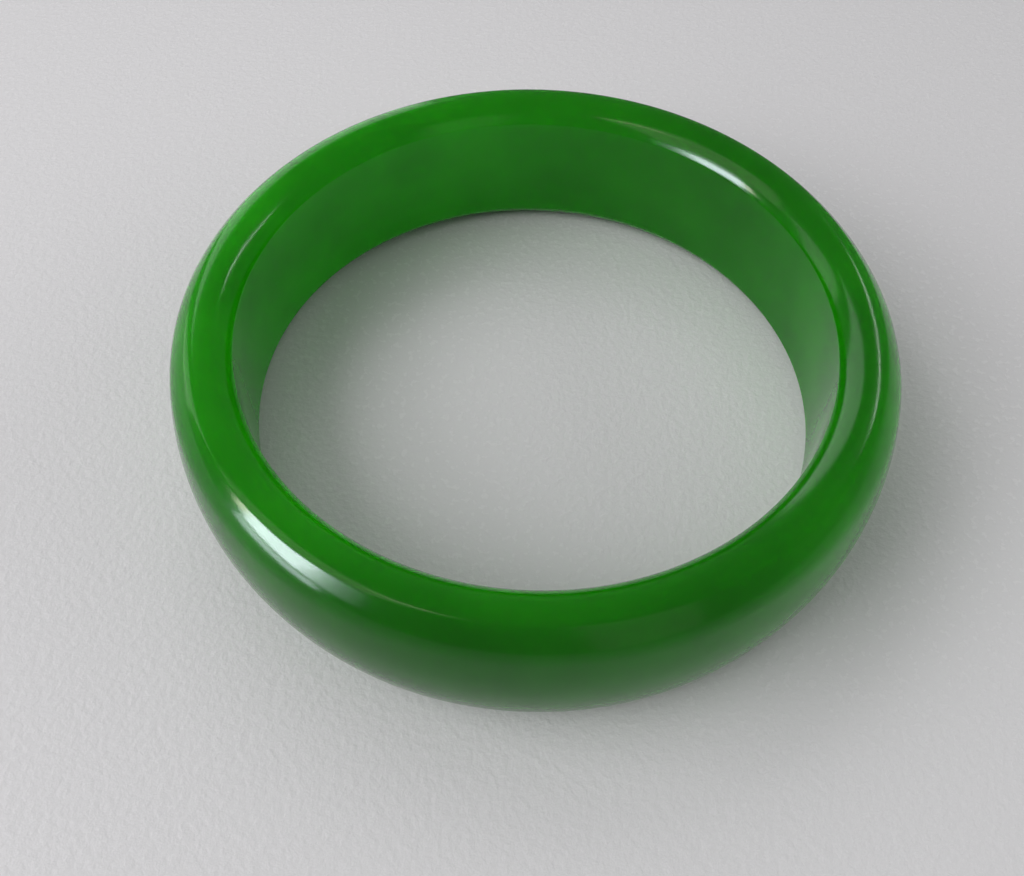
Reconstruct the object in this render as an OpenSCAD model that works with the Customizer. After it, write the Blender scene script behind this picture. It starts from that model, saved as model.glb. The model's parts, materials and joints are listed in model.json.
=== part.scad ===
// Closed one-piece bangle bracelet, cut from a single block of translucent green stone.
// The ring lies flat. Its axis is Z, and its origin is on that axis, on the surface that it rests on.
// Its section is a tall D: a straight inner wall, two round inner edges and a domed outside.

/* [Ring] */
// Inside diameter, which is the wrist size
inside_diameter = 58; // [50:0.5:66]
// Height of the band along the wrist
band_height = 16.5; // [14:0.5:20]
// Thickness of the wall, from the inner wall to the crown of the dome
wall_thickness = 6.75; // [5.75:0.05:8]

/* [Edges] */
// Radius of the two round inner edges
inner_edge_radius = 3.25; // [2.75:0.05:4]
// Height of an inner edge, from its rim to the crease where it meets the inner wall
inner_edge_depth = 2; // [1.5:0.05:2.5]
// Radius of the two shoulders, where the edges turn into the dome
shoulder_radius = 2.25; // [1.25:0.05:2.6]

/* [Hidden] */
$fn = 128;

stone_green = [0.10, 0.42, 0.07];

inner_radius = inside_diameter / 2;
mid_height = band_height / 2;

// Each rim is the highest circle of the ring or the lowest. An inner edge and a shoulder meet there.
rim_distance = sqrt(2 * inner_edge_radius * inner_edge_depth - pow(inner_edge_depth, 2));
rim_to_crown = wall_thickness - rim_distance;

// The crown is one arc. It touches both shoulders and is as thick as the wall at mid height.
shoulder_rise = mid_height - shoulder_radius;
crown_radius = (pow(rim_to_crown, 2) + pow(shoulder_rise, 2) - pow(shoulder_radius, 2))
    / (2 * (rim_to_crown - shoulder_radius));
crown_rise = shoulder_rise * crown_radius / (crown_radius - shoulder_radius);

// The section is drawn with its inner wall on the Y axis, so that every X is a distance from that wall.

// Inner part of the section, as far out as the rims, with its two corners cut off.
module core() {
    polygon([
        [0, inner_edge_depth],
        [rim_distance, 0],
        [rim_distance, band_height],
        [0, band_height - inner_edge_depth]
    ]);
}

// Piece of a disc that rounds an inner corner, from the crease to the rim.
module inner_edge() {
    intersection() {
        translate([rim_distance, band_height - inner_edge_radius])
            circle(r = inner_edge_radius);
        translate([0, band_height - inner_edge_depth])
            square([rim_distance, inner_edge_depth]);
    }
}

// Half disc that leads from a rim into the crown.
module shoulder() {
    intersection() {
        translate([rim_distance, band_height - shoulder_radius])
            circle(r = shoulder_radius);
        translate([rim_distance, band_height - 2 * shoulder_radius])
            square([shoulder_radius, 2 * shoulder_radius]);
    }
}

// Slice of a larger disc, between the points where it touches the two shoulders.
module crown() {
    intersection() {
        translate([wall_thickness - crown_radius, mid_height])
            circle(r = crown_radius);
        translate([rim_distance, mid_height - crown_rise])
            square([wall_thickness, 2 * crown_rise]);
    }
}

// Draws what belongs to the upper edge, and its mirror image at the lower edge.
module at_both_edges() {
    children();
    translate([0, band_height])
        mirror([0, 1])
            children();
}

module section() {
    core();
    crown();
    at_both_edges() {
        inner_edge();
        shoulder();
    }
}

module bangle() {
    color(stone_green)
        rotate_extrude()
            translate([inner_radius, 0])
                section();
}

bangle();
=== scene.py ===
"""A polished green stone bangle lying on a pale desk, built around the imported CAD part."""
import json
import math

import bpy
from mathutils import Matrix, Vector


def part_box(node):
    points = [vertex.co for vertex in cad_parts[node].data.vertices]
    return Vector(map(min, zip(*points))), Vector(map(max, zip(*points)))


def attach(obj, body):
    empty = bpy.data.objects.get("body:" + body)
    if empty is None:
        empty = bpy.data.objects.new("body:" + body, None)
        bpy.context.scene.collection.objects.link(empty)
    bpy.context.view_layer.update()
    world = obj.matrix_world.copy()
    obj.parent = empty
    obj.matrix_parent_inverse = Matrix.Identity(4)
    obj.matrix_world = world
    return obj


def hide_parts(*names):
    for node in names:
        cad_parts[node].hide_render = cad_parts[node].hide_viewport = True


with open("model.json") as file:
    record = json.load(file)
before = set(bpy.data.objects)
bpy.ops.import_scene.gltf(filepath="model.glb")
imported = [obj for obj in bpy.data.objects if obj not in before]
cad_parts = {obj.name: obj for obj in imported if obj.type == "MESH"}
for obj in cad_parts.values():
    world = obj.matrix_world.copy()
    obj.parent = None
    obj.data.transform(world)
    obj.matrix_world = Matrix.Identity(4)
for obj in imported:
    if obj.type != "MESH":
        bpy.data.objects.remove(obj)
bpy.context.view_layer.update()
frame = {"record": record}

MM = 0.001

# ---------------------------------------------------------------- sizes from the CAD part

low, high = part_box("bangle")
bore = next(m for m in frame["record"]["mounts"] if m["name"] == "wrist_opening")
inner_radius = bore["dims"]["r_mm"] * MM
straight_wall = bore["dims"]["length_mm"] * MM
outer_radius = (high.x - low.x) / 2
band_height = high.z - low.z
wall_thickness = outer_radius - inner_radius
inner_edge_depth = (band_height - straight_wall) / 2
centre = Vector((0, 0, band_height / 2))

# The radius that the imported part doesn't state
inner_edge_radius = 3.25 * MM
# Real polishing softens the crease between the inner wall and the inner edge
crease_radius = 0.30 * MM

# The outside, refined. The surface turns fast below the rim and slowly along a soft bevel. Each end is the
# angle between the surface's normal and the level where that arc ends: 90 at the rim and 0 at the crown.
rim_roll_radius = 2.4 * MM
rim_roll_end = math.radians(70)
shoulder_radius = 1.0 * MM
shoulder_end = math.radians(50)
bevel_radius = 7.6 * MM
bevel_end = math.radians(35)
flank_end = math.radians(15)


# ---------------------------------------------------------------- the ring's section

def arc(centre_x, centre_y, radius, start, end, steps):
    """Points on an arc, from the angle start to the angle end in radians, without its last point."""
    points = []
    for i in range(steps):
        a = start + (end - start) * i / steps
        points.append((centre_x + radius * math.cos(a), centre_y + radius * math.sin(a)))
    return points


def flank_and_crown_radii(x, y):
    """Radii of the two arcs that lead from the bevel's end to the wall's full thickness at mid height.

    The bevel ends at x and y. The two radii solve one equation across the wall and one along it.
    """
    system = Matrix((
        (math.cos(flank_end) - math.cos(bevel_end), 1 - math.cos(flank_end)),
        (math.sin(bevel_end) - math.sin(flank_end), math.sin(flank_end))))
    return system.inverted() @ Vector((wall_thickness - x, y))


def smooth_arcs(x, y, normal, arcs):
    """Points on arcs that run smoothly into each other, and the x and y at which the last one ends.

    The first arc starts at x and y, where the normal is at that angle. Each arc is a radius, the normal's
    angle at its end, and a number of steps.
    """
    points = []
    for radius, end, steps in arcs:
        centre_x = x - radius * math.cos(normal)
        centre_y = y - radius * math.sin(normal)
        points += arc(centre_x, centre_y, radius, normal, end, steps)
        x = centre_x + radius * math.cos(end)
        y = centre_y + radius * math.sin(end)
        normal = end
    return points, x, y


def outer_half(rim, top):
    """From the rim to the crown at mid height."""
    points, x, y = smooth_arcs(rim, top, math.pi / 2, (
        (rim_roll_radius, rim_roll_end, 8),
        (shoulder_radius, shoulder_end, 8),
        (bevel_radius, bevel_end, 10)))
    flank_radius, crown_radius = flank_and_crown_radii(x, y)
    flank_and_crown, x, y = smooth_arcs(x, y, bevel_end, (
        (flank_radius, flank_end, 10),
        (crown_radius, 0.0, 12)))
    return points + flank_and_crown + [(x, y)]


def upper_half_section():
    """From the inner wall at mid height, over the rim, to the crown at mid height.

    X is the distance from the inner wall and Y is the height above mid height.
    """
    top = band_height / 2
    rim = math.sqrt(2 * inner_edge_radius * inner_edge_depth - inner_edge_depth ** 2)
    edge_centre = top - inner_edge_radius
    crease_across = rim - crease_radius
    crease_up = math.sqrt((inner_edge_radius - crease_radius) ** 2 - crease_across ** 2)
    crease_centre = edge_centre + crease_up
    crease_end = math.pi - math.atan2(crease_up, crease_across)
    wall_steps = 10

    points = [(0.0, crease_centre * i / wall_steps) for i in range(wall_steps)]
    points += arc(crease_radius, crease_centre, crease_radius, math.pi, crease_end, 5)
    points += arc(rim, edge_centre, inner_edge_radius, crease_end, math.pi / 2, 16)
    points += outer_half(rim, top)
    return points


def whole_section():
    """The closed section, once round."""
    upper = upper_half_section()
    lower = [(x, -y) for x, y in reversed(upper[1:-1])]
    return upper + lower


# ---------------------------------------------------------------- the ring's mesh

def hand_polish(angle, x, y):
    """How far, in metres, polishing by hand left a point below the true section."""
    depth = 0.012 * MM
    lean_length = 4 * MM
    # Each wave is its number of turns round the ring, its shift, its lean along the band, and its share
    waves = (
        (3, 0.4, 0.9, 0.30),
        (5, 2.1, -0.6, 0.25),
        (8, 4.4, 0.5, 0.20),
        (13, 1.2, 1.4, 0.15),
        (21, 5.2, -1.1, 0.10))
    total = 0.0
    for turns, shift, lean, share in waves:
        total += share * math.sin(turns * angle + shift + (lean * y + 0.7 * x) / lean_length)
    return depth * (1 - total)


def outward_normals(section):
    """The outward direction at each point of the section."""
    normals = []
    for i in range(len(section)):
        before = Vector(section[i - 1])
        after = Vector(section[(i + 1) % len(section)])
        along = (after - before).normalized()
        normals.append(Vector((-along.y, along.x)))
    return normals


def ring_mesh(name, steps_round):
    """The section turned round Z, as one closed mesh of quads."""
    section = whole_section()
    normals = outward_normals(section)
    count = len(section)
    vertices = []
    faces = []
    for j in range(steps_round):
        angle = 2 * math.pi * j / steps_round
        here = j * count
        there = ((j + 1) % steps_round) * count
        for i, (x, y) in enumerate(section):
            sunk = hand_polish(angle, x, y)
            radius = inner_radius + x - normals[i].x * sunk
            height = centre.z + y - normals[i].y * sunk
            vertices.append((radius * math.cos(angle), radius * math.sin(angle), height))
            k = (i + 1) % count
            faces.append((here + i, here + k, there + k, there + i))
    mesh = bpy.data.meshes.new(name)
    mesh.from_pydata(vertices, [], faces)
    mesh.update()
    for polygon in mesh.polygons:
        polygon.use_smooth = True
    return mesh


# ---------------------------------------------------------------- materials

def new_material(name):
    """A node material, with its tree and its shader."""
    material = bpy.data.materials.new(name)
    material.use_nodes = True
    tree = material.node_tree
    shader = tree.nodes["Principled BSDF"]
    return material, tree, shader


def noise(tree, size, detail, roughness):
    """A noise texture whose lumps are about size metres across."""
    place = tree.nodes.new("ShaderNodeTexCoord")
    node = tree.nodes.new("ShaderNodeTexNoise")
    node.inputs["Scale"].default_value = 1 / size
    node.inputs["Detail"].default_value = detail
    node.inputs["Roughness"].default_value = roughness
    tree.links.new(place.outputs["Object"], node.inputs["Vector"])
    return node


def ramp(tree, source, stops):
    """Colours source by stops, which are (position, colour)."""
    node = tree.nodes.new("ShaderNodeValToRGB")
    elements = node.color_ramp.elements
    while len(elements) < len(stops):
        elements.new(0.5)
    for element, (position, colour) in zip(elements, stops):
        element.position = position
        element.color = (*colour, 1)
    tree.links.new(source, node.inputs["Fac"])
    return node


def spread(tree, source, low_value, high_value):
    """Maps source onto the range from low_value to high_value. Noise mostly stays between 0.3 and 0.7."""
    node = tree.nodes.new("ShaderNodeMapRange")
    node.inputs["From Min"].default_value = 0.3
    node.inputs["From Max"].default_value = 0.7
    node.inputs["To Min"].default_value = low_value
    node.inputs["To Max"].default_value = high_value
    tree.links.new(source, node.inputs["Value"])
    return node


def bump(tree, source, height):
    """Bump of that height in metres."""
    node = tree.nodes.new("ShaderNodeBump")
    node.inputs["Strength"].default_value = 1.0
    node.inputs["Distance"].default_value = height
    tree.links.new(source, node.inputs["Height"])
    return node


def green_stone():
    """Polished, slightly translucent green stone with faint clouds in it."""
    material, tree, shader = new_material("green_stone")
    clouds = noise(tree, size=14 * MM, detail=3, roughness=0.5)
    colour = ramp(tree, clouds.outputs["Fac"], (
        (0.30, (0.0068, 0.150, 0.0010)),
        (0.50, (0.0085, 0.180, 0.0013)),
        (0.70, (0.0115, 0.215, 0.0018))))
    tree.links.new(colour.outputs["Color"], shader.inputs["Base Color"])
    wear = noise(tree, size=5 * MM, detail=4, roughness=0.6)
    gloss = spread(tree, wear.outputs["Fac"], 0.11, 0.17)
    tree.links.new(gloss.outputs["Result"], shader.inputs["Roughness"])
    ripple = noise(tree, size=3 * MM, detail=2, roughness=0.5)
    ripple_bump = bump(tree, ripple.outputs["Fac"], height=0.004 * MM)
    tree.links.new(ripple_bump.outputs["Normal"], shader.inputs["Normal"])
    shader.inputs["IOR"].default_value = 1.35
    shader.inputs["Subsurface Weight"].default_value = 1.0
    shader.inputs["Subsurface Radius"].default_value = (0.3, 1.0, 0.1)
    shader.inputs["Subsurface Scale"].default_value = 12 * MM
    return material


def desk_top():
    """Pale laminate with a fine pebbled grain."""
    material, tree, shader = new_material("desk_top")
    shader.inputs["Base Color"].default_value = (0.70, 0.695, 0.705, 1)
    grain = noise(tree, size=0.8 * MM, detail=3, roughness=0.55)
    rough = spread(tree, grain.outputs["Fac"], 0.20, 0.30)
    tree.links.new(rough.outputs["Result"], shader.inputs["Roughness"])
    grain_bump = bump(tree, grain.outputs["Fac"], height=0.085 * MM)
    tree.links.new(grain_bump.outputs["Normal"], shader.inputs["Normal"])
    return material


# ---------------------------------------------------------------- the pieces

bangle = bpy.data.objects.new("polished_bangle", ring_mesh("polished_bangle", steps_round=360))
bpy.context.scene.collection.objects.link(bangle)
bangle.data.materials.append(green_stone())
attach(bangle, "root")
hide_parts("bangle")

half_width = 1.5
corners = [(x * half_width, y * half_width, 0) for x, y in ((-1, -1), (1, -1), (1, 1), (-1, 1))]
desk_mesh = bpy.data.meshes.new("desk")
desk_mesh.from_pydata(corners, [], [(0, 1, 2, 3)])
desk = bpy.data.objects.new("desk", desk_mesh)
bpy.context.scene.collection.objects.link(desk)
desk.location.z = low.z
desk.data.materials.append(desk_top())


# ---------------------------------------------------------------- lights

def direction(azimuth, elevation):
    """Unit vector from the ring. Azimuth 0 is away from the camera and 90 is to its right."""
    a = math.radians(azimuth)
    e = math.radians(elevation)
    return Vector((math.sin(a) * math.cos(e), math.cos(a) * math.cos(e), math.sin(e)))


def area_light(name, offset, width, height, radiance, colour):
    """A flat light at that offset from the ring's centre, which it faces. The camera doesn't see it."""
    data = bpy.data.lights.new(name, "AREA")
    data.shape = "RECTANGLE"
    data.size = width
    data.size_y = height
    data.energy = radiance * math.pi * width * height
    data.color = colour
    light = bpy.data.objects.new(name, data)
    light.location = centre + offset
    light.rotation_euler = offset.to_track_quat("Z", "Y").to_euler()
    light.visible_camera = False
    bpy.context.scene.collection.objects.link(light)
    return light


def softbox(name, azimuths, elevations, radiance, colour, distance=0.7):
    """A flat light that fills this range of azimuths and elevations, as seen from the ring's centre."""
    azimuth = sum(azimuths) / 2
    elevation = sum(elevations) / 2
    half_turn = math.radians(azimuths[1] - azimuths[0]) / 2
    half_rise = math.radians(elevations[1] - elevations[0]) / 2
    width = 2 * distance * math.tan(half_turn) * math.cos(math.radians(elevation))
    height = 2 * distance * math.tan(half_rise)
    return area_light(name, direction(azimuth, elevation) * distance, width, height, radiance, colour)


def light_only(light, thing):
    """Keeps the light off everything except thing, though everything still casts a shadow in it."""
    receivers = bpy.data.collections.new(light.name + "_receivers")
    receivers.objects.link(thing)
    light.light_linking.receiver_collection = receivers


WHITE = (1.0, 1.0, 1.0)
WINDOW_BLUE = (0.84, 0.96, 1.0)
GLOW_GREEN = (0.5, 1.0, 0.4)
# How far the lights stand from the ring's centre, in metres. The near ones fade across the ring.
window_distance = 0.6
near_left = 0.085
near_side = 0.12
inside_opening = 0.012

# What the ring mirrors: a window with the bright ground under its sill, and the walls, a lamp and a strip
window_azimuths = (-125, -105)
window_elevations = (8, 26)
strip_place = Vector((111, 114, 162)) * MM
mirrored_lights = [
    softbox("window", window_azimuths, window_elevations, 32.0, WINDOW_BLUE, window_distance),
    softbox("window_end", (-105, -101), (11, 24), 16.0, (1.0, 0.98, 0.72), window_distance),
    softbox("window_above", (-125, -104), (26, 33), 6.0, WINDOW_BLUE, window_distance),
    softbox("ground_outside", (-130, -104), (0, 6), 12.0, WINDOW_BLUE, window_distance),
    softbox("wall_by_window", (-146, -80), (30, 66), 1.2, (1.0, 1.0, 0.8)),
    softbox("wall_left", (-78, -56), (0, 36), 1.5, (1.0, 1.0, 0.95)),
    softbox("wall_back_left", (-42, -11), (0, 43), 1.9, (0.95, 1.0, 0.97)),
    softbox("wall_front_right", (135, 165), (0, 50), 0.35, (1.0, 0.95, 0.85)),
    softbox("lamp_above_window", (-151, -125), (58, 61), 5.0, (1.0, 0.96, 0.6)),
    area_light("near_strip", strip_place - centre, 85 * MM, 9 * MM, 12.0, WHITE)]

# A curtain dims the window's near end in steps
curtain_radiances = (22.0, 14.0, 9.0, 5.5, 3.5, 2.2, 1.3)
curtain_step = 2.2
for i, radiance in enumerate(curtain_radiances):
    edge = window_azimuths[0] - curtain_step * i
    azimuths = (edge - curtain_step, edge)
    mirrored_lights.append(
        softbox(f"curtain_{i}", azimuths, window_elevations, radiance, WINDOW_BLUE, window_distance))

for light in mirrored_lights:
    light.visible_diffuse = False
    light_only(light, bangle)

# Soft light on the desk, which gives it the ring's shadows
desk_lights = [
    softbox("desk_key", (-132, -100), (18, 40), 2.4, WHITE, window_distance),
    softbox("desk_left", (-140, -75), (28, 62), 3.0, (1.0, 0.985, 1.0)),
    softbox("desk_window", (-135, -75), (1, 28), 1.9, WHITE),
    softbox("desk_back", (-60, 5), (33, 60), 1.5, WHITE),
    softbox("desk_right", (40, 120), (8, 34), 1.9, (0.97, 1.0, 0.97)),
    softbox("desk_front", (135, 225), (40, 66), 0.15, (1.0, 0.97, 0.97))]
for light in desk_lights:
    light.visible_glossy = False
    light_only(light, desk)

# Soft light on the ring, mostly from the left. The three glows stand in for daylight that passes through
# the stone and comes out at its inner wall.
ring_lights = [
    softbox("ring_left", (-110, -70), (25, 55), 2.6, WHITE, near_left),
    softbox("ring_back_left", (-70, -30), (20, 50), 3.5, WHITE, near_left),
    softbox("ring_front_left", (-145, -110), (25, 55), 2.0, WHITE, near_side),
    softbox("ring_right", (75, 115), (5, 35), 3.6, WHITE, near_side),
    softbox("glow_left", (70, 110), (-5, 25), 20.0, GLOW_GREEN, inside_opening),
    softbox("glow_back", (160, 200), (-5, 25), 9.0, GLOW_GREEN, inside_opening),
    softbox("glow_back_right", (-155, -115), (-5, 25), 9.0, GLOW_GREEN, inside_opening)]
for light in ring_lights:
    light.visible_glossy = False
    light_only(light, bangle)

world = bpy.data.worlds.new("studio")
world.use_nodes = True
background = world.node_tree.nodes["Background"]
background.inputs["Color"].default_value = (1.0, 0.98, 1.0, 1)
background.inputs["Strength"].default_value = 0.20
bpy.context.scene.world = world


# ---------------------------------------------------------------- camera

camera_distance = 100.74 * MM
camera_elevation = math.radians(50.884)
pan = math.radians(1.077)
tilt = math.radians(-4.707)
roll = math.radians(2.555)
camera_side = Vector((0, -math.cos(camera_elevation), math.sin(camera_elevation)))

camera_data = bpy.data.cameras.new("camera")
camera_data.sensor_width = 36
camera_data.lens = 34.52
camera_data.clip_start = 5 * MM
camera = bpy.data.objects.new("camera", camera_data)
bpy.context.scene.collection.objects.link(camera)
camera.matrix_world = (
    Matrix.Translation(centre + camera_side * camera_distance)
    @ Matrix.Rotation(math.pi / 2 - camera_elevation, 4, "X")
    @ Matrix.Rotation(pan, 4, "Y")
    @ Matrix.Rotation(tilt, 4, "X")
    @ Matrix.Rotation(roll, 4, "Z"))
bpy.context.scene.camera = camera
bpy.context.scene.view_settings.view_transform = "Standard"
